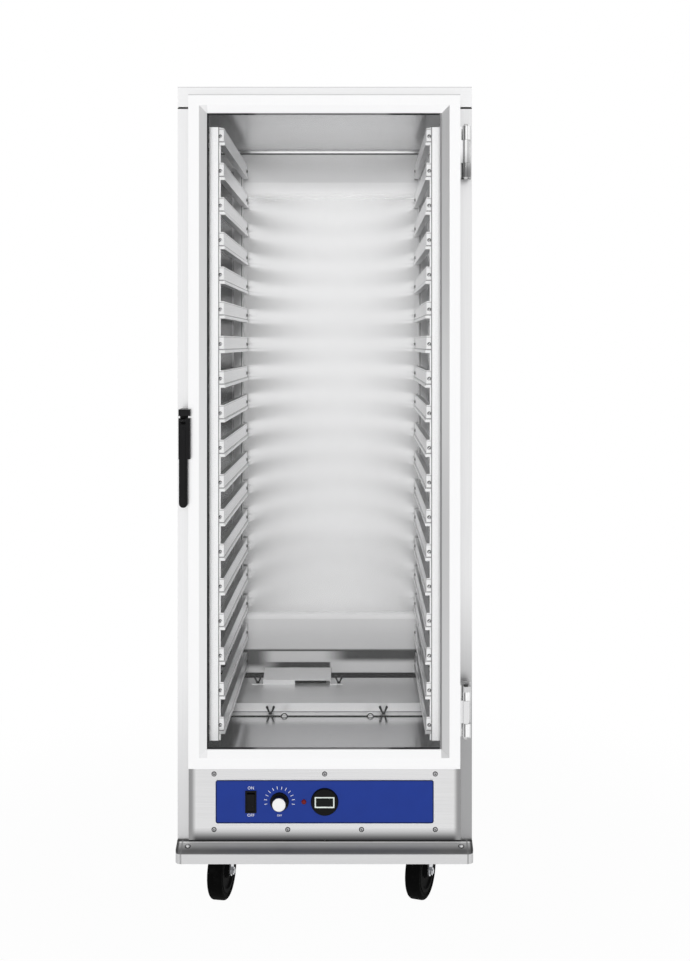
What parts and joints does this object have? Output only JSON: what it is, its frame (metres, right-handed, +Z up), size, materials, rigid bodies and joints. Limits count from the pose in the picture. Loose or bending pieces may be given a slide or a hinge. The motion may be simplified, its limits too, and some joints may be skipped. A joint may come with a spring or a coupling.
{
  "type": "hot cupboard",
  "caption": "Tall heated holding cabinet with a clear hinged door, pan slides inside, a control panel below and swivel casters.",
  "frame": {"origin": "on the floor, under the middle of the overall box", "axes": "+Z up, the door faces -Y, +X to the right of someone who faces the door"},
  "size_m": [0.641, 0.78, 1.793],
  "materials": {
    "skin": "satin sheet",
    "liner": "brushed",
    "rack": "satin",
    "door_frame": "satin anodised",
    "glazing": "clear",
    "seal": "soft",
    "hinge": "polished",
    "hinge_pin": "moulded",
    "latch": "moulded",
    "latch_steel": "plain",
    "fastener": "plated",
    "heater_steel": "plain",
    "element": "heat tinted",
    "motor": "satin",
    "fan": "plain",
    "label": "printed film",
    "switch": "moulded",
    "knob": "moulded",
    "knob_cap": "moulded",
    "lamp": "clear lens",
    "meter": "moulded",
    "terminal": "moulded",
    "gland": "moulded",
    "caster_steel": "zinc plated",
    "tyre": "moulded tread"
  },
  "bodies": {
    "cabinet": {"base_pan": "skin", "front_ledge": "skin", "side_panel_left": "skin", "side_panel_right": "skin", "back_panel": "skin", "top_panel": "skin", "door_header": "skin", "door_sill": "skin", "liner_left": "liner", "liner_right": "liner", "liner_back": "liner", "liner_top": "liner", "floor_pan": "liner", "rack_uprights_left": "rack", "rack_uprights_right": "rack", "rack_brackets": "rack", "pan_slides_left": "rack", "pan_slides_right": "rack", "slide_rivets": "fastener", "heater_cover": "liner", "air_hood": "liner", "wing_screws": "fastener", "heater_well": "heater_steel", "heating_element": "element", "fan_motor": "motor", "control_panel": "skin", "control_label": "label", "switch_housing": "switch", "thermostat_body": "motor", "pilot_lamp": "lamp", "thermometer": "meter", "panel_screws": "fastener", "terminal_block": "terminal", "cord_gland": "gland", "hinge_frame_leaves": "hinge", "hinge_pins": "hinge_pin", "strike_plate": "latch_steel", "caster_plates": "caster_steel"},
    "door": {"door_stile_left": "door_frame", "door_stile_right": "door_frame", "door_rail_top": "door_frame", "door_rail_bottom": "door_frame", "door_window": "glazing", "door_gasket": "seal", "hinge_door_leaves": "hinge", "latch_body": "latch", "latch_pin": "latch_steel"},
    "latch_lever": {"latch_lever": "latch"},
    "switch_rocker": {"switch_rocker": "switch"},
    "thermostat_knob": {"thermostat_knob": "knob", "knob_cap": "knob_cap"},
    "fan": {"fan_impeller": "fan"},
    "caster_fl": {"caster_fork_fl": "caster_steel"},
    "wheel_fl": {"caster_wheel_fl": "tyre"},
    "caster_fr": {"caster_fork_fr": "caster_steel"},
    "wheel_fr": {"caster_wheel_fr": "tyre"},
    "caster_rl": {"caster_fork_rl": "caster_steel"},
    "wheel_rl": {"caster_wheel_rl": "tyre"},
    "caster_rr": {"caster_fork_rr": "caster_steel"},
    "wheel_rr": {"caster_wheel_rr": "tyre"}
  },
  "joints": [
    {"name": "door_hinge", "type": "hinge", "parent": "cabinet", "child": "door", "pos_m": [0.304, -0.371, 1.0445], "axis": [0, 0, 1], "range_deg": [0, 180]},
    {"name": "latch_pivot", "type": "hinge", "parent": "door", "child": "latch_lever", "pos_m": [-0.3015, -0.382, 1.069], "axis": [-1, 0, 0], "range_deg": [0, 30]},
    {"name": "switch_tilt", "type": "hinge", "parent": "cabinet", "child": "switch_rocker", "pos_m": [-0.16, -0.336, 0.24], "axis": [-1, 0, 0], "range_deg": [0, 14]},
    {"name": "thermostat_turn", "type": "hinge", "parent": "cabinet", "child": "thermostat_knob", "pos_m": [-0.098, -0.3416, 0.24], "axis": [0, 1, 0], "range_deg": [0, 270]},
    {"name": "fan_spin", "type": "hinge", "parent": "cabinet", "child": "fan", "pos_m": [-0.087, 0.198, 0.241], "axis": [0, 0, 1], "continuous": true},
    {"name": "swivel_fl", "type": "hinge", "parent": "cabinet", "child": "caster_fl", "pos_m": [-0.224, -0.228, 0.139], "axis": [0, 0, 1], "continuous": true},
    {"name": "roll_fl", "type": "hinge", "parent": "caster_fl", "child": "wheel_fl", "pos_m": [-0.23068, -0.26236, 0.0625], "axis": [0.9816, -0.1908, 0], "continuous": true},
    {"name": "swivel_fr", "type": "hinge", "parent": "cabinet", "child": "caster_fr", "pos_m": [0.224, -0.228, 0.139], "axis": [0, 0, 1], "continuous": true},
    {"name": "roll_fr", "type": "hinge", "parent": "caster_fr", "child": "wheel_fr", "pos_m": [0.21146, -0.26068, 0.0625], "axis": [0.9336, -0.3584, 0], "continuous": true},
    {"name": "swivel_rl", "type": "hinge", "parent": "cabinet", "child": "caster_rl", "pos_m": [-0.224, 0.278, 0.139], "axis": [0, 0, 1], "continuous": true},
    {"name": "roll_rl", "type": "hinge", "parent": "caster_rl", "child": "wheel_rl", "pos_m": [-0.23247, 0.24404, 0.0625], "axis": [0.9703, -0.2419, 0], "continuous": true},
    {"name": "swivel_rr", "type": "hinge", "parent": "cabinet", "child": "caster_rr", "pos_m": [0.224, 0.278, 0.139], "axis": [0, 0, 1], "continuous": true},
    {"name": "roll_rr", "type": "hinge", "parent": "caster_rr", "child": "wheel_rr", "pos_m": [0.21377, 0.24453, 0.0625], "axis": [0.9563, -0.2924, 0], "continuous": true}
  ]
}
